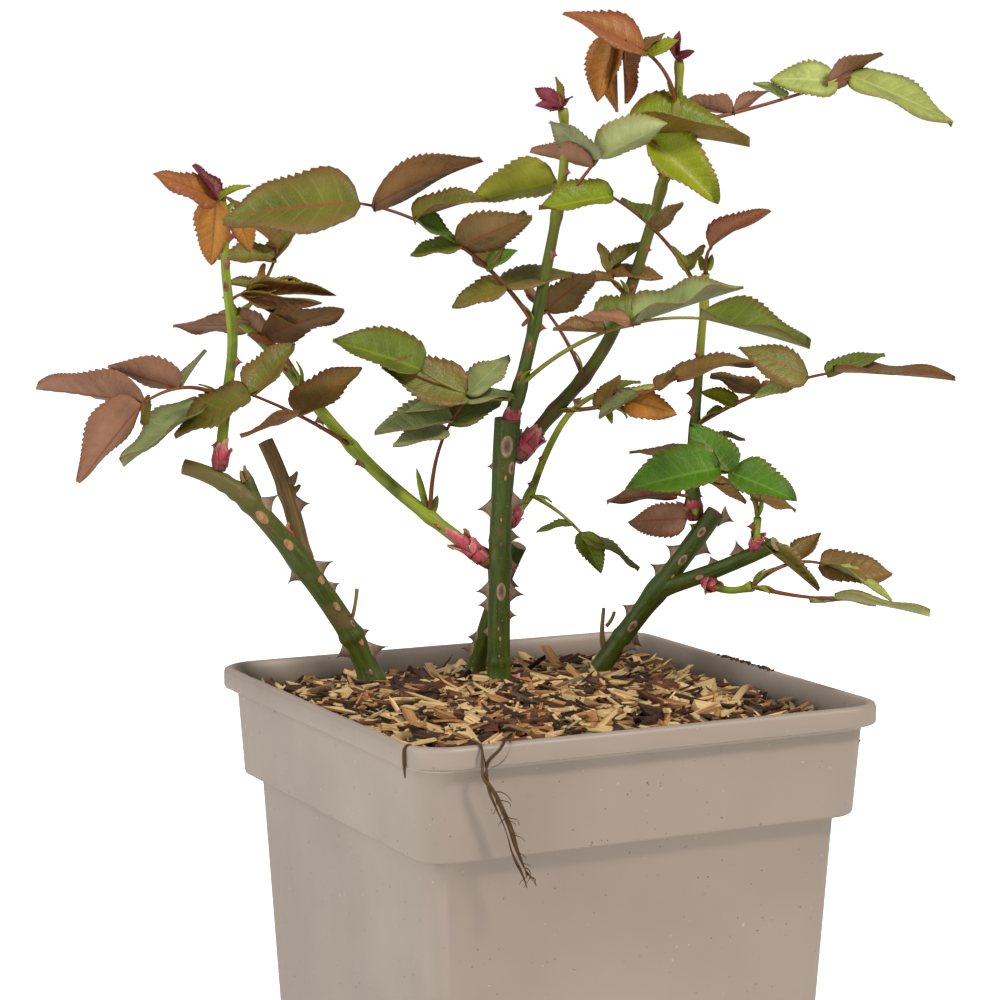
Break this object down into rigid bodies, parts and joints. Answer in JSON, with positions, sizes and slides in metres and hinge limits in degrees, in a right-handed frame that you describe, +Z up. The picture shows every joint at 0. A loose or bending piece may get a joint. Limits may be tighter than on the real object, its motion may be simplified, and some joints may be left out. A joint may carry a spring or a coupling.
{
  "type": "rose bush",
  "caption": "Young rose bush in leaf, without flowers: pruned thorny canes carry new leafy shoots above a square tapered plastic pot filled with bark mulch.",
  "frame": {"origin": "centre of the pot's flat underside", "axes": "+Z up; +X along the pot's right-hand front side, seen with the wide side of the crown in front; +Y to the back"},
  "size_m": [0.3674, 0.2268, 0.5065],
  "materials": {
    "pot_plastic": "taupe moulded plastic, satin, faintly rippled",
    "bark_mulch": "loose straw-coloured and dark brown bark chips",
    "green_cane": "green living bark with tan scars and grey-brown thorns",
    "dead_wood": "dry brown bark",
    "foliage": "semi-gloss leaves, green to copper and dark purple on the young tips"
  },
  "bodies": {
    "root": {"pot": "pot_plastic", "mulch": "bark_mulch", "cane_middle": "green_cane", "cane_left": "green_cane", "cane_rear": "green_cane", "cane_right": "green_cane", "cane_left_stub": "dead_wood", "shoot_left": "foliage", "shoot_diagonal": "foliage", "shoot_centre": "foliage", "shoot_centre_right": "foliage", "shoot_rear": "foliage", "shoot_right": "foliage", "shoot_branch_upper": "foliage", "shoot_branch_lower": "foliage"}
  },
  "joints": []
}
